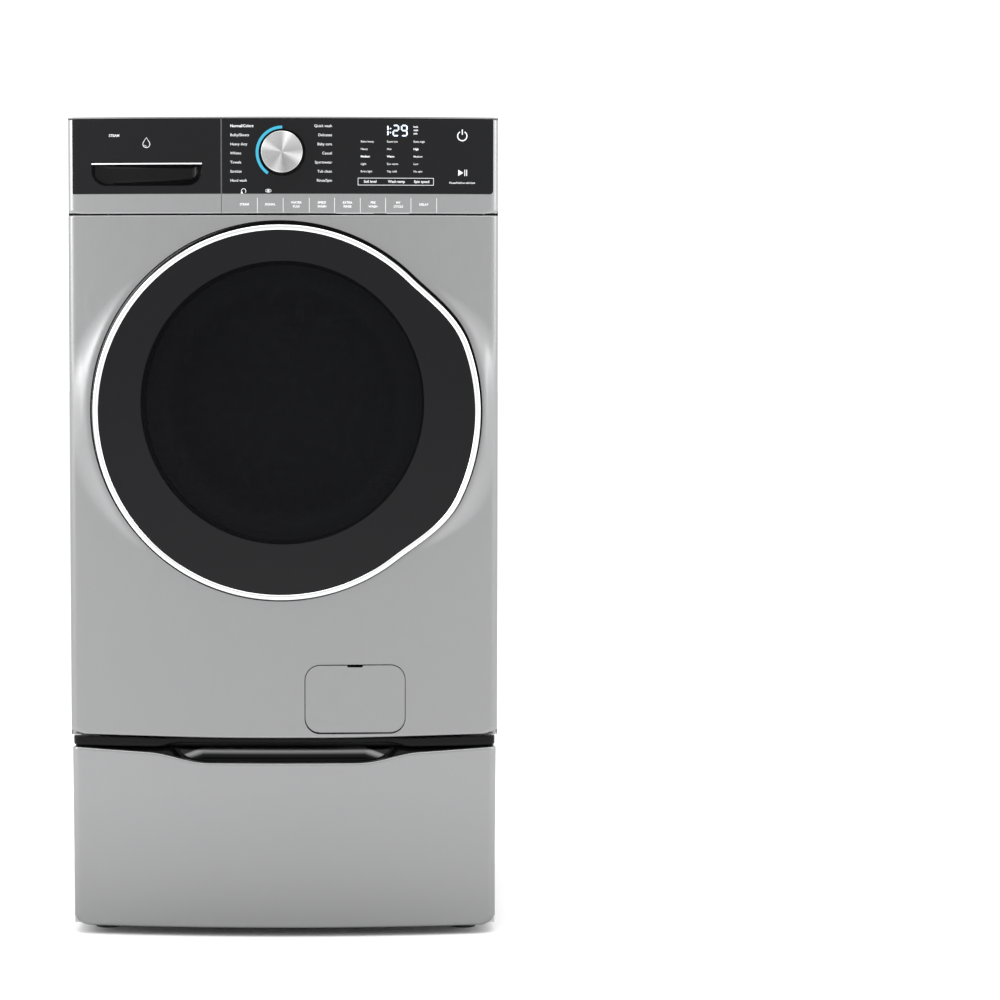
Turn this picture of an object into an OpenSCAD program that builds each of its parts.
// Front load washing machine on its storage pedestal.
// +X is the machine's right, +Y its back, +Z up. The origin is on the floor, in the middle of the footprint.

/* [Cabinet] */
// Overall width
body_w = 686; // [660:2:700]
// Height of the washer alone, from its lower edge to the top
washer_h = 990; // [980:2:1000]
// Depth of the cabinet behind its front edges
cabinet_d = 718; // [714:2:722]
// Height of the control console
console_h = 154; // [150:1:158]
// How far the middle of the front stands out from its edges
front_bow = 30; // [28:1:31]
// Thickness of the sheet metal
sheet_t = 1; // [0.8:0.1:1.4]

/* [Pedestal] */
// Height from the floor to the washer's lower edge
pedestal_h = 320; // [316:1:324]
// Clearance under the storage drawer's front
toe_gap = 14; // [10:1:18]
// Travel of the storage drawer
storage_travel = 400; // [300:10:420]

/* [Door] */
// Outer radius of the door's round part
door_r = 298; // [294:1:299]
// How far the grip side bulges past the circle
grip_bulge = 19; // [12:1:20]
// Width of the bright ring
ring_w = 9; // [6:0.5:12]
// Radius of the door's window
window_r = 222; // [221:1:226]

/* [Drum] */
// Inner radius of the drum
drum_r = 274; // [266:1:274]
// Inside depth of the drum
drum_depth = 494; // [460:2:494]
// Radius of the way into the drum
mouth_r = 206; // [204:1:207]

/* [Controls] */
// Radius of the programme knob
knob_r = 33; // [28:1:36]
// Travel of the detergent drawer
detergent_travel = 200; // [120:10:210]

/* [Hidden] */
$fn = 96;

silver = [0.70, 0.71, 0.72];
black = [0.10, 0.10, 0.11];
steel = [0.80, 0.81, 0.82];
chrome = [0.92, 0.93, 0.94];
grey = [0.55, 0.56, 0.58];

hw = body_w / 2;
big = 900;
z_base = pedestal_h;
z_top = z_base + washer_h;
z_seam = z_top - console_h;
y_edge = -346;
y_apex = y_edge - front_bow;
y_side = -330;
y_rear = y_edge + cabinet_d;

// The front surface is an arc in plan with rounded ends
front_r = (hw * hw + front_bow * front_bow) / (2 * front_bow);
corner_r = 14;
arc_steps = 28;
corner_steps = 6;

// Door
door_x = -3;
door_z = z_base + 522;
grip_angle = -3;
grip_half = 23;
grip_fade = 26;
recess_grow = 4;
recess_shift = 3;
door_steps = 96;
window_x = 0;
window_z = door_z + 16;
ring_y = y_apex - 17;
ring_d = 7.5;
cover_y = ring_y - 7;
dome_rise = 8;
dome_r = (pow(door_r - ring_w, 2) + dome_rise * dome_rise) / (2 * dome_rise);
boss_y = y_apex + 14;
dish_y = -352;
dish_t = 2;
pin_x = -292;
pin_y = -378.5;
pin_r = 4;
knuckle_r = 6;
ear_gap = 57;
ear_t = 6;

// Drum and tub, on a horizontal axis
axis_z = z_base + 536;
drum_front = -284;
drum_back = drum_front + drum_depth;
drum_t = 0.8;
tub_ri = 296;
tub_t = 5;
tub_ro = tub_ri + tub_t;
tub_face = -302.5;
tub_seam = -22;
tub_end = 246;
flange_r = 312;
lobe_r = 74;
shaft_r1 = 15;
shaft_r2 = 12.5;
pulley_y0 = 290;
pulley_y1 = 312;
pulley_r = 150;
motor_x = 120;
motor_z = z_base + 170;
motor_r = 62;
rotor_r = 11;
belt_t = 3.7;
belt_gap = 0.3;
spring_x = 290;
spring_y = -40;
damper_x = 170;
damper_ys = [-170, 100];
rod_top = z_base + 274;

drain_x = 112;
drain_z = z_base + 820;

// Pump and its filter, behind the service flap
flap_x = 114.6;
flap_z = z_base + 63.4;
flap_w = 160;
flap_h = 110;
flap_corner = 24;
flap_gap = 0.6;
filter_z = z_base + 63;
flap_pin_y = -374.4;
flap_pin_z = z_base + 11.2;

// Console
split_x = -96.5;
lens_z0 = z_seam + 32;
lens_z1 = z_top - 3.5;
lens_edge = hw - 8;
knob_x = 0;
knob_z = z_seam + 97.6;
well_r = knob_r + 4.5;
light_w = 4.5;
light_from = 90;
light_to = 235;

// Detergent drawer
grip_x0 = -304;
grip_x1 = -127;
grip_z0 = z_seam + 45;
grip_z1 = z_seam + 81.5;

// Storage pedestal
ped_hw = hw - 2;
storage_z0 = toe_gap;
storage_z1 = pedestal_h - 16;
scoop_z = pedestal_h - 39;
scoop_flat = 118;
scoop_end = 195;
scoop_step = 13;
box_x = 310;
slide_z = 150;
slide_h = 36;

// ---------- shapes used by several parts ----------

// A block between two corners
module block(lo, hi) {
    translate(lo) cube(hi - lo);
}

// An outline drawn in X and Z, made solid from y0 to y1
module prism_y(y0, y1) {
    translate([0, y1, 0]) rotate([90, 0, 0]) linear_extrude(y1 - y0) children();
}

// A profile of (radius, y), turned about the drum's axis
module turned(z = axis_z, x = 0) {
    translate([x, 0, z]) rotate([-90, 0, 0]) rotate_extrude() children();
}

// A cylinder along Y
module rod_y(r, y0, y1, x = 0, z = axis_z) {
    translate([x, y0, z]) rotate([-90, 0, 0]) cylinder(r = r, h = y1 - y0);
}

// A tube along Y
module tube_y(r_out, r_in, y0, y1, x = 0, z = axis_z) {
    difference() {
        rod_y(r_out, y0, y1, x, z);
        rod_y(r_in, y0 - 1, y1 + 1, x, z);
    }
}

// A rod along Z
module rod_z(r, z0, z1, x, y) {
    translate([x, y, z0]) cylinder(r = r, h = z1 - z0);
}

// A rectangle with round corners, about a centre
module rounded_rect(w, h, r) {
    union() {
        square([w - 2 * r, h], center = true);
        square([w, h - 2 * r], center = true);
        for (sx = [-1, 1], sy = [-1, 1])
            translate([sx * (w / 2 - r), sy * (h / 2 - r)]) circle(r = r);
    }
}

// Outline of the front in plan: round corners, bowed middle, straight back
function front_plan(half_w, back, t = 0) =
    let (cy = y_apex + front_r,
         ex = half_w - corner_r,
         ey = cy - sqrt(pow(front_r - corner_r, 2) - ex * ex),
         tilt = atan2(ey - cy, ex))
    concat(
        [[half_w - t, back]],
        [for (i = [0 : corner_steps]) let (a = tilt * i / corner_steps)
            [ex + (corner_r - t) * cos(a), ey + (corner_r - t) * sin(a)]],
        [for (i = [1 : arc_steps - 1]) let (a = tilt + (-180 - 2 * tilt) * i / arc_steps)
            [(front_r - t) * cos(a), cy + (front_r - t) * sin(a)]],
        [for (i = [corner_steps : -1 : 0]) let (a = -180 - tilt * i / corner_steps)
            [-ex + (corner_r - t) * cos(a), ey + (corner_r - t) * sin(a)]],
        [[-(half_w - t), back]]);

// A solid with the bowed front, its surface moved back by t
module bowed(z0, z1, back, t = 0, half_w = hw) {
    translate([0, 0, z0]) linear_extrude(z1 - z0) polygon(front_plan(half_w, back, t));
}

// A skin of the bowed front, t thick and set back by inset
module bowed_skin(z0, z1, back, t, inset = 0, half_w = hw) {
    difference() {
        bowed(z0, z1, back, inset, half_w);
        bowed(z0 - 1, z1 + 1, back + 1, inset + t, half_w);
    }
}

// The door's outline: a circle with a smooth bulge on the grip side
function ease(u) = let (v = min(1, max(0, u))) v * v * (3 - 2 * v);
function door_radius(a) =
    door_r + grip_bulge * ease((grip_half + grip_fade - abs(a)) / grip_fade);
function door_outline(grow, shift = 0) =
    [for (i = [0 : door_steps - 1]) let (a = 360 * i / door_steps - 180, r = door_radius(a) + grow)
        [door_x + shift + r * cos(a + grip_angle), door_z + shift + r * sin(a + grip_angle)]];

module door_shape(grow, shift = 0) {
    polygon(door_outline(grow, shift));
}

// ---------- cabinet ----------

module side_panel(s) {
    inner = hw - sheet_t;
    press = 3;
    difference() {
        union() {
            block([min(s * hw, s * inner), y_side + 0.5, z_base + 1],
                  [max(s * hw, s * inner), y_rear, z_top - 21]);
            translate([s * (inner - press / 2), 20, z_base + 480])
                rotate([90, 0, 90]) linear_extrude(press, center = true)
                    rounded_rect(560, 780, 40);
        }
        translate([s * (hw - press / 2 + 1), 20, z_base + 480])
            rotate([90, 0, 90]) linear_extrude(press + 2, center = true)
                rounded_rect(560 - 2 * sheet_t, 780 - 2 * sheet_t, 39);
        block([min(s * (hw + 9), s * hw), -big, 0], [max(s * (hw + 9), s * hw), big, 2 * big]);
    }
}

module side_panels() {
    color(silver) for (s = [-1, 1])
        side_panel(s);
}

module top_panel() {
    skirt = 20;
    t = 1.5;
    color(silver) union() {
        bowed(z_top - 2.5, z_top, y_side + 10);
        block([-hw, y_side + 5, z_top - t], [hw, y_rear, z_top]);
        difference() {
            block([-hw, y_side + 0.5, z_top - skirt], [hw, y_rear, z_top - t + 0.5]);
            block([-hw + t, y_side - 1, z_top - skirt - 1], [hw - t, y_rear - t, z_top - t + 0.1]);
        }
    }
}

module top_rails() {
    rails = [[-328, -300, 6], [-55, -25, 16], [345, 366, 20]];
    color(grey) union() {
        for (r = rails)
            block([-hw + 6, r[0], z_top - 21 - r[2]], [hw - 6, r[1], z_top - 21]);
        // Hooks that the springs hang from
        for (s = [-1, 1])
            block([s * spring_x - 3, spring_y - 8, z_top - 52], [s * spring_x + 3, spring_y + 8, z_top - 36]);
    }
}

module base_frame() {
    x = hw - 2;
    t = 1.5;
    color(grey) difference() {
        union() {
            difference() {
                block([-x, y_side + 1, z_base + 1], [x, y_rear - 2, z_base + 22]);
                block([-x + t, y_side + 1 + t, z_base + 1 + t], [x - t, y_rear - 2 - t, z_base + 30]);
            }
            // Channels that carry the dampers
            for (y = damper_ys)
                block([-x + 1, y - 24, z_base + 2], [x - 1, y + 24, z_base + 20]);
        }
        for (y = damper_ys)
            block([-x + 30, y - 24 + t, z_base - 1], [x - 30, y + 24 - t, z_base + 20 - t]);
        block([-90, -260, z_base - 1], [90, -205, z_base + 40]);
    }
}

module rear_panel() {
    y0 = y_rear - sheet_t;
    color(silver) difference() {
        union() {
            block([-hw + 2, y0, z_base + 1], [hw - 2, y_rear, z_top - 21]);
            // Pressed ribs beside and under the service opening
            for (z = [70, 110, 150], s = [-1, 1])
                translate([s * 170, 0, z_base + z]) prism_y(y0, y_rear + 3) rounded_rect(240, 14, 6);
            for (x = [260, 285, 310], s = [-1, 1])
                translate([s * x, 0, z_base + 480]) prism_y(y0, y_rear + 3) rounded_rect(10, 420, 4);
        }
        translate([0, 0, z_base + 490]) prism_y(y0 - 1, y_rear + 9) rounded_rect(420, 470, 60);
        for (x = [-260, -200])
            rod_y(15, y0 - 1, y_rear + 9, x, z_top - 80);
        rod_y(12.2, y0 - 1, y_rear + 9, -250, z_base + 200);
        rod_y(15, y0 - 1, y_rear + 9, drain_x, drain_z);
    }
}

module rear_cover() {
    z = z_base + 490;
    color(silver) difference() {
        union() {
            translate([0, 0, z]) prism_y(y_rear + 0.3, y_rear + 1.8) rounded_rect(470, 520, 70);
            translate([0, 0, z]) prism_y(y_rear + 0.3, y_rear + 14) rounded_rect(400, 450, 60);
        }
        translate([0, 0, z]) prism_y(y_rear - 1, y_rear + 12.5) rounded_rect(397, 447, 58.5);
    }
}

module rear_screws() {
    cover = [for (x = [-220, 0, 220], z = [240, 740]) [x, z, 1.9]];
    sides = [for (x = [-220, 220], z = [405, 575]) [x, z, 1.9]];
    edges = [for (x = [-330, 330], z = [30, 330, 640, 940]) [x, z, 0.1]];
    color(steel) for (p = concat(cover, sides, edges))
        rod_y(4.5, y_rear + p[2], y_rear + p[2] + 3, p[0], z_base + p[1], $fn = 24);
}

module front_panel() {
    t = sheet_t;
    color(silver) difference() {
        union() {
            difference() {
                union() {
                    bowed_skin(z_base + 1, z_seam - 1, y_side - 1, t);
                    bowed(z_base + 1, z_base + 2.5, y_side - 1);
                    bowed(z_seam - 2.5, z_seam - 1, y_side - 1);
                }
                prism_y(-big, -339) door_shape(recess_grow + 0.7, recess_shift);
            }
            // The wall of the dish that the door closes into, standing out at both sides
            intersection() {
                prism_y(y_apex - 1, dish_y + dish_t + 2) difference() {
                    door_shape(recess_grow + t, recess_shift);
                    door_shape(recess_grow, recess_shift);
                }
                union() {
                    bowed(z_base + 10, z_seam - 10, y_side);
                    block([-hw, boss_y, z_base + 10], [hw, y_side, z_seam - 10]);
                }
            }
        }
        translate([flap_x, 0, flap_z]) prism_y(-big, y_side + 1)
            rounded_rect(flap_w + 2 * flap_gap, flap_h + 2 * flap_gap, flap_corner + flap_gap);
    }
}

module door_surround() {
    color(black) difference() {
        union() {
            prism_y(dish_y, dish_y + dish_t) door_shape(recess_grow - 0.5, recess_shift);
            prism_y(dish_y - 8, dish_y + 0.5) difference() {
                door_shape(recess_grow - 0.5, recess_shift);
                door_shape(recess_grow - 2.5, recess_shift);
            }
        }
        rod_y(mouth_r, -big, 0);
        block([246, -big, door_z - 14], [284, 0, door_z + 14]);
    }
}

module hinge_bracket() {
    arm_l = 31;
    color(steel) union() {
        block([pin_x + 9, dish_y - 3.2, door_z - 80], [pin_x + 36, dish_y - 0.2, door_z + 80]);
        for (s = [-1, 1]) {
            z0 = door_z + s * (ear_gap + ear_t / 2) - ear_t / 2;
            rod_z(knuckle_r, z0, z0 + ear_t, pin_x, pin_y);
            translate([pin_x, pin_y, z0]) rotate([0, 0, 44]) translate([0, -4.5, 0]) cube([arm_l, 9, ear_t]);
            block([pin_x + 14, dish_y - 8, z0], [pin_x + 28, dish_y - 3, z0 + ear_t]);
        }
        rod_z(pin_r - 0.05, door_z - ear_gap - ear_t, door_z + ear_gap + ear_t, pin_x, pin_y);
    }
}

module door_lock() {
    color(black) difference() {
        block([244, dish_y + 3, door_z - 24], [296, -316, door_z + 24]);
        block([247, -big, door_z - 15], [280, -319, door_z + 15]);
    }
}

module door_gasket() {
    color([0.45, 0.46, 0.48]) turned() polygon([
        [205.5, -355.6], [205.5, -349.5], [213, -349.5], [213, -344], [204, -344], [222, -333], [222, -326],
        [205, -318], [210, -313], [210, -303.5], [201, -303.5], [201, -312], [197, -318], [214, -327],
        [214, -332], [196, -342], [189.5, -347], [189.5, -352], [196, -355.6]]);
}

// ---------- console ----------

module console_frame() {
    color(silver) difference() {
        union() {
            difference() {
                bowed_skin(z_seam + 1, z_top - 3, y_side - 1, 2.5);
                block([-big, -big, 0], [split_x + 0.7, 0, 2 * big]);
                block([-big, -big, lens_z0], [lens_edge, 0, 2 * big]);
            }
            difference() {
                bowed(z_seam + 1, z_seam + 3, y_side - 1);
                block([-big, -big, 0], [split_x + 0.7, 0, 2 * big]);
            }
            block([split_x + 0.7, y_side - 3, z_seam + 1], [hw - 2, y_side - 1, z_top - 24]);
        }
    }
}

module lens_slab(x0, x1) {
    intersection() {
        bowed_skin(lens_z0 + 0.4, lens_z1, y_side - 8, 3);
        prism_y(-big, y_side) union() {
            translate([x0, lens_z0 + 0.4]) square([x1 - x0, 2 * (lens_z1 - lens_z0)]);
        }
    }
}

module console_lens() {
    r = 9;
    x1 = lens_edge - 0.5;
    color(black) difference() {
        lens_slab(split_x + 0.8, x1);
        // Round lower corner
        prism_y(-big, 0) difference() {
            translate([x1 - r, lens_z0]) square([r + 1, r + 0.4]);
            translate([x1 - r, lens_z0 + r + 0.4]) circle(r = r);
        }
        rod_y(12, -big, 0, knob_x, knob_z);
        rod_y(well_r, -big, y_apex + 1.6, knob_x, knob_z);
        light_arc(0.2, -big, 0);
    }
}

// The lit arc beside the knob
module light_arc(grow, y0, y1) {
    span = light_to - light_from;
    prism_y(y0, y1) translate([knob_x, knob_z]) difference() {
        polygon(concat([[0, 0]], [for (i = [0 : 16]) let (a = light_from - grow + (span + 2 * grow) * i / 16)
            2 * well_r * [cos(a), sin(a)]]));
        circle(r = well_r - grow);
        difference() {
            circle(r = 4 * well_r);
            circle(r = well_r + light_w + grow);
        }
    }
}

module light_ring() {
    color([0.25, 0.75, 0.9]) light_arc(0, y_apex, y_apex + 2.8);
}

module control_board() {
    y = y_side - 11;
    color([0.1, 0.35, 0.2]) union() {
        block([-60, y, z_seam + 20], [320, y + 1.6, z_top - 30]);
        block([80, y - 8, z_seam + 70], [240, y + 0.5, z_top - 34]);
        rod_y(9, y - 12, y + 0.5, knob_x, knob_z);
        for (x = [30 : 40 : 230])
            rod_y(5, y - 6, y + 0.5, x, z_seam + 45, $fn = 24);
        block([60, y + 1, z_seam + 34], [110, y + 7, z_seam + 66]);
        block([140, y + 1, z_seam + 34], [170, y + 7, z_seam + 60]);
    }
}

module program_knob() {
    color(chrome) union() {
        rod_y(knob_r, y_apex - 21, y_apex + 0.9, knob_x, knob_z);
        rod_y(knob_r - 1.5, y_apex - 22, y_apex - 20, knob_x, knob_z);
        rod_y(6, y_apex, y_side - 23.5, knob_x, knob_z);
    }
}

// ---------- detergent drawer and dispenser ----------

module grip_shape(grow) {
    r = 24;
    intersection() {
        union() {
            translate([grip_x0 - grow, grip_z0 - grow + r])
                square([grip_x1 - grip_x0 + 2 * grow, grip_z1 - grip_z0 - r + grow]);
            translate([grip_x0 - grow + r, grip_z0 - grow])
                square([grip_x1 - grip_x0 + 2 * grow - 2 * r, r + 1]);
            for (x = [grip_x0 - grow + r, grip_x1 + grow - r])
                translate([x, grip_z0 - grow + r]) circle(r = r);
        }
        translate([grip_x0 - grow, grip_z0 - grow])
            square([grip_x1 - grip_x0 + 2 * grow, grip_z1 - grip_z0 + grow]);
    }
}

module detergent_plate() {
    back = y_side - 5;
    color(black) difference() {
        union() {
            lens_slab(-lens_edge + 0.5, split_x - 1.2);
            intersection() {
                bowed(grip_z0 - 5, grip_z1 + 3, back, 0.5);
                prism_y(-big, back) grip_shape(2);
            }
        }
        difference() {
            prism_y(-big, back - 2) grip_shape(0);
            block([-big, back - 2, 0], [big, big, 2 * big]);
        }
    }
}

module detergent_bezel() {
    x1 = split_x - 0.7;
    color(silver) difference() {
        union() {
            bowed_skin(z_seam + 1, z_top - 3, y_side - 1, 2.5);
            bowed(z_seam + 1, z_seam + 3, y_side - 1);
            block([-hw + 2, y_side - 3, z_seam + 1], [x1 + 1, y_side - 1, z_top - 24]);
        }
        block([x1, -big, 0], [big, big, 2 * big]);
        block([-lens_edge, -big, lens_z0], [big, y_side - 4, 2 * big]);
    }
    // Bright bar along the top of the grip
    color(chrome) intersection() {
        bowed_skin(grip_z1 - 3, grip_z1, y_side - 6.5, 8, -1.5);
        block([grip_x0 + 0.2, -big, 0], [grip_x1 - 0.2, 0, 2 * big]);
    }
}

module detergent_tray() {
    x0 = -328;
    x1 = -112;
    y0 = y_side - 0.8;
    y1 = -75;
    z0 = z_seam + 28;
    z1 = z_seam + 92;
    walls = [x0 + 2, -258, -188, x1 - 2];
    color([0.85, 0.86, 0.88]) union() {
        difference() {
            block([x0, y0, z0], [x1, y1, z1]);
            for (i = [0 : 2])
                block([walls[i] + (i > 0 ? 1 : 0), y0 + 3, z0 + 2], [walls[i + 1] - (i < 2 ? 1 : 0), y1 - 2, z1 + 1]);
        }
        // Siphon posts in the softener and bleach cells
        for (x = [-292, -223])
            rod_z(9, z0 + 1, z1 - 12, x, y1 - 40, $fn = 32);
    }
}

module dispenser_housing() {
    color([0.8, 0.8, 0.82]) difference() {
        block([-336, y_side + 1, z_seam + 20], [-104, -60, z_top - 28]);
        block([-333.5, y_side, z_seam + 22.5], [-106.5, -62.5, z_top - 30.5]);
    }
}

// ---------- water in and out ----------

module water_ports() {
    z = z_top - 80;
    color([0.3, 0.35, 0.6]) {
        for (x = [-260, -200]) difference() {
            union() {
                block([x - 20, 334, z - 20], [x + 20, y_rear - 2.5, z + 20]);
                rod_z(13, z + 19, z + 37, x, 350, $fn = 32);
                rod_y(13.2, y_rear - 3, 400, x, z);
            }
            rod_y(9, y_rear + 4, 401, x, z);
        }
        difference() {
            rod_y(12.5, y_rear - 2.5, 400, drain_x, drain_z);
            rod_y(9, y_rear + 4, 401, drain_x, drain_z);
        }
    }
}

module internal_hoses() {
    py = 340;
    pz = z_base + 32;
    r = 11;
    color([0.2, 0.2, 0.22]) union() {
        // Fill hoses
        for (x = [-260, -200])
            rod_y(8, -59.5, 333.5, x, z_top - 80, $fn = 32);
        // Drain line: back along the base and up behind the tub
        rod_y(r, -119, py, drain_x, pz);
        translate([drain_x, py, pz]) sphere(r = r);
        rod_z(r, pz, drain_z, drain_x, py);
        translate([drain_x, py, drain_z]) sphere(r = r);
        rod_y(r, py, y_rear - 3, drain_x, drain_z);
    }
}

module cord_gland() {
    x = -250;
    z = z_base + 200;
    color(black) difference() {
        union() {
            rod_y(12, y_rear - 8, y_rear + 4, x, z);
            rod_y(17, y_rear + 0.2, y_rear + 8, x, z);
        }
        rod_y(5, y_rear - 20, y_rear + 20, x, z);
    }
}

module drain_pump() {
    x = flap_x;
    color([0.75, 0.75, 0.78]) {
        union() {
            rod_y(34, -214, -160, x, filter_z);
            rod_y(26, -161, -120, x, filter_z);
            rod_z(18, filter_z + 20, filter_z + 47, x, -190);
        }
        // Housing that the filter screws into
        difference() {
            union() {
                rod_y(38, -350, -215, x, filter_z);
                translate([x, 0, filter_z]) prism_y(-352, -349) rounded_rect(120, 84, 12);
            }
            rod_y(34, -353, -225, x, filter_z);
        }
    }
}

module filter_cap() {
    x = flap_x;
    color([0.25, 0.5, 0.7]) union() {
        rod_y(37, -358, -353, x, filter_z);
        block([x - 30, -366, filter_z - 5], [x + 30, -357, filter_z + 5]);
        tube_y(33.5, 29, -354, -240, x, filter_z);
    }
}

module filter_flap() {
    z1 = flap_z + flap_h / 2;
    notch_w = 27;
    color(silver) difference() {
        union() {
            intersection() {
                bowed_skin(z_base + 5, z_base + 140, y_side, 2, inset = 0.2);
                translate([flap_x, 0, flap_z + 0.7]) prism_y(-big, 0)
                    rounded_rect(flap_w - 2 * flap_gap, flap_h - 2.6, flap_corner - flap_gap);
            }
            translate([51, flap_pin_y, flap_pin_z]) rotate([0, 90, 0]) cylinder(r = 0.7, h = 6, $fn = 24);
        }
        block([flap_x - notch_w / 2, -big, z1 - 4], [flap_x + notch_w / 2, 0, z1 + 4]);
    }
}

module tub_hoses() {
    x0 = 40;
    y = -190;
    z = z_base + 130;
    color(black) union() {
        // Bellows from the tub's sump to the pump
        rod_z(17, z, z_base + 184, x0, y);
        translate([x0, y, z]) sphere(r = 17);
        translate([x0, y, z]) rotate([0, 90, 0]) cylinder(r = 17, h = flap_x - x0);
        translate([flap_x, y, z]) sphere(r = 17);
        rod_z(17, filter_z + 47.5, z, flap_x, y);
        // Bellows from the dispenser to the tub
        rod_z(19, axis_z + 280, z_seam + 19.5, -150, -100);
    }
}

// ---------- tub, hung on springs ----------

module tub_bore(y0, y1) {
    rod_y(tub_ri, y0, y1);
}

module tub_front() {
    color([0.78, 0.79, 0.80]) difference() {
        union() {
            rod_y(tub_ro, tub_face, tub_seam);
            tube_y(flange_r, tub_ro - 1, tub_seam - 8, tub_seam);
            block([-70, -270, axis_z - 334], [70, -60, axis_z - 250]);
            rod_z(17, z_base + 184.5, axis_z - 320, 40, -190);
            rod_z(20, axis_z + 230, axis_z + 279.5, -150, -100);
            for (s = [-1, 1]) {
                block([s * (spring_x - 15) - 29, spring_y - 12, axis_z + 172],
                      [s * (spring_x - 15) + 29, spring_y + 12, axis_z + 235]);
                block([s * damper_x - 14, damper_ys[0] - 14, rod_top + 0.3],
                      [s * damper_x + 14, damper_ys[0] + 14, rod_top + 40]);
            }
            for (i = [0 : 7])
                tube_y(tub_ro + 5, tub_ro - 1, -270 + 30 * i, -267 + 30 * i);
        }
        tub_bore(tub_face + tub_t, 0);
        rod_y(200, -400, 0);
        block([-66, -266, axis_z - 330], [66, -64, axis_z - 200]);
        rod_z(13, 0, axis_z - 300, 40, -190);
        rod_z(16, axis_z + 200, axis_z + 300, -150, -100);
    }
}

module tub_rear() {
    color([0.78, 0.79, 0.80]) difference() {
        union() {
            rod_y(tub_ro, tub_seam + 0.5, tub_end);
            tube_y(flange_r, tub_ro - 1, tub_seam + 0.5, tub_seam + 8.5);
            rod_y(48, tub_end - 2, 286);
            for (i = [0 : 11])
                translate([0, 0, axis_z]) rotate([0, 30 * i, 0])
                    block([40, tub_end - 1, -2], [tub_ro - 2, tub_end + 16, 2]);
            tube_y(tub_ro, tub_ro - 5, tub_end - 1, tub_end + 16);
            for (s = [-1, 1])
                block([s * damper_x - 14, damper_ys[1] - 14, rod_top + 0.3],
                      [s * damper_x + 14, damper_ys[1] + 14, rod_top + 40]);
            // Lugs that carry the motor
            for (y = [156, 226])
                block([motor_x - 60, y, motor_z], [motor_x + 60, y + 8, motor_z + 130]);
        }
        tub_bore(tub_seam - 1, 240);
        rod_y(22, 200, 300);
        rod_y(36, 244, 266);
        rod_y(31, 265.9, 300);
        rod_y(motor_r + 0.3, 100, 300, motor_x, motor_z);
    }
}

module counterweights() {
    y1 = tub_face - 0.8;
    color([0.35, 0.35, 0.35]) {
        for (a = [35, 215])
            translate([0, 0, axis_z]) prism_y(y1 - 26, y1) intersection() {
                difference() {
                    circle(r = 296);
                    circle(r = 236);
                }
                polygon(concat([[0, 0]], [for (i = [0 : 8]) 500 * [cos(a + 110 * i / 8), sin(a + 110 * i / 8)]]));
            }
        difference() {
            block([-70, -190, axis_z + 290], [90, 0, axis_z + 350]);
            rod_y(tub_ro + 12, -300, 100);
        }
    }
}

module heater() {
    z = axis_z - 308;
    color(steel) union() {
        for (x = [-25, 25])
            rod_y(4, -262, -100, x, z, $fn = 24);
        translate([0, -100, z]) rotate_extrude(angle = 180) translate([25, 0]) circle(r = 4, $fn = 24);
        block([-40, -265, z - 14], [40, -261, z + 14]);
    }
}

module tub_bearings() {
    color(steel) {
        tube_y(35.95, shaft_r1 + 0.05, 247, 265);
        tube_y(30.95, shaft_r2 + 0.05, 268, 284);
    }
    color(black) tube_y(21.95, shaft_r1 + 0.1, 241, 246);
}

module motor() {
    color(grey) difference() {
        union() {
            rod_y(motor_r, 150, 240, motor_x, motor_z);
            rod_y(50, 142, 250, motor_x, motor_z);
        }
        rod_y(40, 160, 236, motor_x, motor_z);
        rod_y(8.2, 100, 300, motor_x, motor_z);
    }
}

module motor_rotor() {
    color(steel) union() {
        rod_y(39, 163, 233, motor_x, motor_z);
        rod_y(8, 145, pulley_y1 + 2, motor_x, motor_z);
        rod_y(rotor_r, pulley_y0 - 2, pulley_y1 + 2, motor_x, motor_z);
        rod_y(rotor_r + 3, pulley_y0 - 4, pulley_y0 - 1, motor_x, motor_z);
        rod_y(rotor_r + 3, pulley_y1 + 1, pulley_y1 + 4, motor_x, motor_z);
    }
}

// The belt's path round the two pulleys, at a distance from their faces
function belt_path(gap) =
    let (dx = motor_x, dz = motor_z - axis_z, line = atan2(dz, dx),
         lean = acos((pulley_r - rotor_r) / sqrt(dx * dx + dz * dz)))
    concat(
        [for (i = [0 : 56]) let (a = line + lean + (360 - 2 * lean) * i / 56)
            (pulley_r + gap) * [cos(a), sin(a)]],
        [for (i = [0 : 10]) let (a = line - lean + 2 * lean * i / 10)
            [dx, dz] + (rotor_r + gap) * [cos(a), sin(a)]]);

module drive_belt() {
    color(black) translate([0, 0, axis_z]) prism_y(pulley_y0 + 2, pulley_y1 - 2) difference() {
        polygon(belt_path(belt_gap + belt_t));
        polygon(belt_path(belt_gap));
    }
}

module damper_cylinders() {
    color(grey) for (s = [-1, 1], y = damper_ys) difference() {
        union() {
            rod_z(14, z_base + 22, z_base + 170, s * damper_x, y);
            block([s * damper_x - 12, y - 16, z_base + 20.2], [s * damper_x + 12, y + 16, z_base + 34]);
        }
        rod_z(10.5, z_base + 40, z_base + 180, s * damper_x, y);
    }
}

module damper_rods() {
    color(steel) for (s = [-1, 1], y = damper_ys) union() {
        rod_z(6, z_base + 70, rod_top - 10, s * damper_x, y);
        rod_z(10.4, z_base + 62, z_base + 82, s * damper_x, y);
        block([s * damper_x - 10, y - 10, rod_top - 14], [s * damper_x + 10, y + 10, rod_top]);
    }
}

module suspension_springs() {
    z0 = axis_z + 235.3;
    z1 = z_top - 52.3;
    color(steel) for (s = [-1, 1]) difference() {
        rod_z(17, z0, z1, s * spring_x, spring_y);
        rod_z(13, z0 + 4, z1 - 4, s * spring_x, spring_y);
    }
}

// ---------- drum ----------

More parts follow.
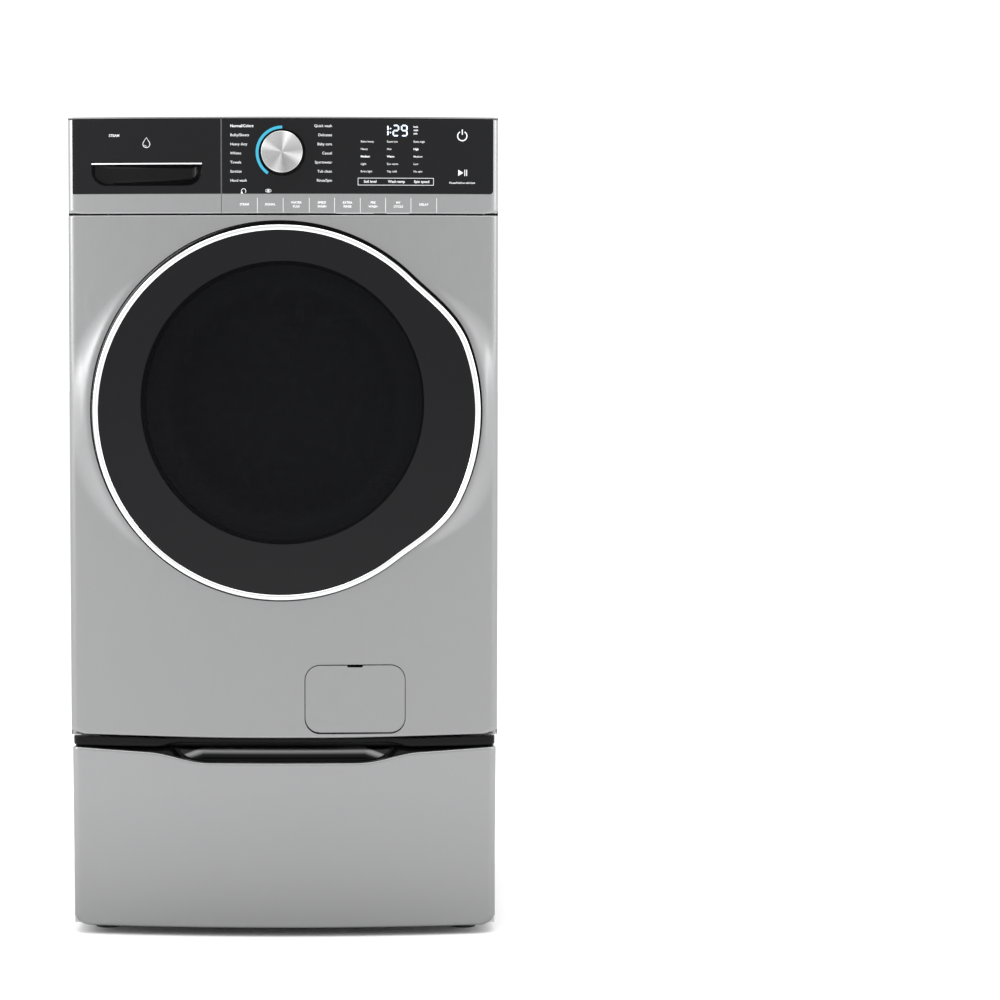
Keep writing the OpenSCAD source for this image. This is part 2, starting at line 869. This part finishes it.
module lobed(r, y0, y1) {
    n = 72;
    translate([0, 0, axis_z]) prism_y(y0, y1) polygon([for (i = [0 : n - 1]) let (a = 360 * i / n)
        (r * (1 + 0.13 * cos(3 * (a - 90)))) * [cos(a), sin(a)]]);
}

module drum_shell() {
    color(steel) {
        tube_y(drum_r + drum_t, drum_r, drum_front + 0.05, drum_back);
        // Balance ring
        tube_y(drum_r - 0.5, drum_r - 16, drum_front + 1.5, drum_front + 24);
    }
}

module drum_front_rim() {
    color(steel) union() {
        tube_y(drum_r + drum_t, 192, drum_front - 1.2, drum_front);
        tube_y(194, 192, drum_front - 7, drum_front);
    }
}

module drum_rear_disc() {
    color(steel) difference() {
        union() {
            rod_y(drum_r + drum_t, drum_back + 0.05, drum_back + 1.2);
            lobed(lobe_r, drum_back - 14, drum_back + 1);
        }
        lobed(lobe_r - 2, drum_back - 12.5, drum_back + 3);
    }
}

module drum_lifters() {
    base = 35;
    tip = 13;
    color([0.75, 0.76, 0.78]) for (a = [90, 210, 330])
        translate([0, 0, axis_z]) prism_y(drum_front + 34, drum_back - 20) rotate(a) union() {
            polygon([[drum_r - 3, -base], [drum_r - 3, base], [drum_r - 26, base * 0.62], [drum_r - 44, tip],
                     [drum_r - 44, -tip], [drum_r - 26, -base * 0.62]]);
            translate([drum_r - 44, 0]) circle(r = tip);
        }
}

module drum_spider() {
    color([0.72, 0.73, 0.75]) union() {
        rod_y(42, drum_back + 3, 236);
        for (a = [30, 150, 270])
            translate([0, 0, axis_z]) prism_y(drum_back + 5, 234) rotate(a)
                polygon([[20, -24], [262, -14], [262, 14], [20, 24]]);
        rod_y(shaft_r1, 230, 266);
        rod_y(shaft_r2, 260, pulley_y1);
    }
}

module drum_pulley() {
    color(grey) {
        difference() {
            union() {
                tube_y(pulley_r, pulley_r - 12, pulley_y0, pulley_y1);
                rod_y(24, pulley_y0 - 3, pulley_y1);
                for (i = [0 : 5])
                    translate([0, 0, axis_z]) rotate([0, 60 * i, 0])
                        block([15, pulley_y0 + 6, -8], [pulley_r - 8, pulley_y0 + 14, 8]);
            }
            rod_y(shaft_r2 + 0.1, pulley_y0 - 9, pulley_y1 + 9);
        }
        rod_y(11, pulley_y1 + 0.3, pulley_y1 + 8, $fn = 6);
    }
}

// ---------- door ----------

module door_ring() {
    color(chrome) prism_y(ring_y, ring_y + ring_d) difference() {
        door_shape(0);
        door_shape(-ring_w);
    }
}

// Profile of the dome as (radius, y)
function dome(radius, steps) = [for (i = [0 : steps]) let (a = asin(310 / radius) * i / steps)
    [radius * sin(a), cover_y + dome_r - radius * cos(a)]];

module door_cover() {
    t = 4;
    outer = dome(dome_r, 14);
    inner = dome(dome_r - t, 14);
    color(black) intersection() {
        prism_y(cover_y - 1, ring_y + ring_d) door_shape(-ring_w - 0.3);
        turned(door_z, door_x) polygon(concat(outer, [for (i = [14 : -1 : 0]) [inner[i][0], inner[i][1]]]));
    }
}

module door_frame() {
    y0 = ring_y + ring_d + 0.5;
    y1 = -366;
    y2 = -356;
    color(black) difference() {
        union() {
            prism_y(y0, y1) door_shape(-3);
            rod_y(252, y1 - 1, y2, window_x, window_z);
        }
        rod_y(window_r, -big, y1, window_x, window_z);
        rod_y(207, -big, 0, window_x + 2, window_z - 1);
        // Pocket for the hinge
        block([-big, -big, door_z - 82], [pin_x + 38, 0, door_z + 82]);
        // Finger room behind the grip
        block([door_r - 20, y0 + 4, door_z - 100], [big, 0, door_z + 70]);
        // Slot for the latch hook
        block([252, -374, door_z - 16], [282, 0, door_z + 16]);
    }
}

module door_glass() {
    color([0.6, 0.65, 0.7, 0.5]) turned(window_z - 1, window_x + 2) polygon([
        [219, -372], [219, -366.3], [186, -366.3], [184.5, -362], [173, -300], [160, -268], [142, -255],
        [0, -250], [0, -255], [138, -260], [155, -271], [168, -302], [180, -366], [182, -372]]);
}

module hinge_arm() {
    color(steel) difference() {
        union() {
            rod_z(knuckle_r, door_z - ear_gap + 0.5, door_z + ear_gap - 0.5, pin_x, pin_y);
            block([pin_x, pin_y - knuckle_r, door_z - ear_gap + 0.5],
                  [pin_x + 37.5, pin_y - knuckle_r + 3.5, door_z + ear_gap - 0.5]);
            block([pin_x + 20, pin_y - knuckle_r, door_z - 81.5], [pin_x + 37.5, pin_y - knuckle_r + 1, door_z + 81.5]);
        }
        rod_z(pin_r, 0, 2 * big, pin_x, pin_y);
    }
}

module door_hook() {
    color(steel) union() {
        block([260, -370, door_z - 4], [268, -324, door_z + 4]);
        block([267, -334, door_z - 4], [276, -324, door_z + 4]);
        rod_z(3, door_z - 15, door_z + 15, 264, -366, $fn = 32);
    }
}

// ---------- storage pedestal ----------

module pedestal_frame() {
    x = ped_hw - 1;
    color(silver) difference() {
        block([-x, y_side + 2, 26], [x, y_rear, storage_z1 - 9]);
        block([-x + sheet_t, y_side, 28], [x - sheet_t, y_rear - sheet_t, storage_z1]);
    }
}

module pedestal_top_frame() {
    color(black) union() {
        difference() {
            block([-ped_hw + 4, y_side + 2, storage_z1 - 8], [ped_hw - 4, y_rear, storage_z1 + 6]);
            block([-ped_hw + 8, y_side + 6, storage_z1 - 9], [ped_hw - 8, y_rear - 4, storage_z1 + 4]);
        }
        // Front rail, bowed like the drawer, cut away over the grip
        difference() {
            bowed(storage_z1 + 1.5, z_base - 2, y_side + 3, 5, ped_hw - 2);
            block([-scoop_end, -big, 0], [scoop_end, y_side - 6, big]);
            block([-hw, y_side + 1, storage_z1 + 5], [hw, 0, big]);
        }
    }
}

module levelling_feet() {
    color(black) for (x = [-290, 290], y = [-280, 300]) {
        union() {
            rod_z(20, 0, 12, x, y, $fn = 48);
            rod_z(6, 11, 25.8, x, y, $fn = 32);
        }
        union() {
            rod_z(20, storage_z1 + 6.2, storage_z1 + 15, x, y, $fn = 48);
            rod_z(6, storage_z1 + 14, z_base + 0.8, x, y, $fn = 32);
        }
    }
}

module slide_pair(x0, x1, y0, y1) {
    for (s = [-1, 1])
        block([min(s * x0, s * x1), y0, slide_z - slide_h / 2], [max(s * x0, s * x1), y1, slide_z + slide_h / 2]);
}

module outer_slides() {
    color(steel) slide_pair(331, 338, -318, 330);
}

module middle_slides() {
    color(steel) slide_pair(322, 330, -316, 300);
}

module inner_slides() {
    color(steel) slide_pair(box_x + 1, 321, -314, 290);
}

// Front outline of the storage drawer, with the grip scooped out of its top edge
module storage_shape() {
    n = 16;
    rise = storage_z1 - scoop_z;
    right = [for (i = [0 : n]) let (x = scoop_flat + (ped_hw - scoop_flat) * i / n)
        [x, scoop_z + scoop_step * ease((x - scoop_flat) / 100)
            + (rise - scoop_step) * max(0, (x - 150) / (ped_hw - 150))]];
    polygon(concat([[-hw, storage_z0], [hw, storage_z0], [hw, storage_z1]],
                   [for (i = [n : -1 : 0]) right[i]], [for (i = [0 : n]) [-right[i][0], right[i][1]]],
                   [[-hw, storage_z1]]));
}

module storage_front() {
    t = 1.4;
    color(silver) union() {
        intersection() {
            union() {
                bowed_skin(storage_z0, storage_z1, y_side - 1, t, 0, ped_hw);
                bowed(storage_z0, storage_z0 + t, y_side - 1, 0, ped_hw);
            }
            prism_y(-big, 0) storage_shape();
        }
        block([-ped_hw + 1, y_side - 3, storage_z0 + 1], [ped_hw - 1, y_side - 1, scoop_z - 4]);
    }
}

module storage_handle() {
    w = scoop_end + 8;
    color(black) difference() {
        bowed(scoop_z - 34, storage_z1 - 2.5, y_side - 4, 2.6, ped_hw);
        for (s = [-1, 1]) {
            block([min(s * w, s * big), -big, 0], [max(s * w, s * big), big, scoop_z + 4]);
            block([min(s * (ped_hw - 16), s * big), -big, 0], [max(s * (ped_hw - 16), s * big), big, big]);
        }
        // The hollow that fingers reach into
        translate([0, -356, storage_z1 + 2]) rotate([0, 90, 0])
            cylinder(r = 17, h = 2 * (scoop_end - 8), center = true);
        block([-scoop_end + 8, -big, scoop_z + 1], [scoop_end - 8, -356, big]);
    }
}

module storage_box() {
    t = sheet_t;
    color([0.75, 0.76, 0.77]) difference() {
        block([-box_x, y_side - 0.5, 40], [box_x, 300, 250]);
        block([-box_x + t, y_side - 0.5 + t, 40 + t], [box_x - t, 300 - t, 260]);
    }
}

side_panels();
rear_panel();
rear_cover();
top_panel();
top_rails();
base_frame();
front_panel();
door_surround();
hinge_bracket();
door_lock();
door_gasket();
console_frame();
console_lens();
light_ring();
control_board();
dispenser_housing();
water_ports();
internal_hoses();
cord_gland();
drain_pump();
levelling_feet();
rear_screws();
damper_cylinders();
suspension_springs();
tub_hoses();
pedestal_frame();
pedestal_top_frame();
outer_slides();
tub_front();
tub_rear();
counterweights();
heater();
tub_bearings();
motor();
damper_rods();
drive_belt();
drum_shell();
drum_front_rim();
drum_rear_disc();
drum_lifters();
drum_spider();
drum_pulley();
motor_rotor();
door_ring();
door_cover();
door_frame();
door_glass();
hinge_arm();
door_hook();
detergent_bezel();
detergent_plate();
detergent_tray();
program_knob();
filter_flap();
filter_cap();
storage_front();
storage_handle();
storage_box();
inner_slides();
middle_slides();
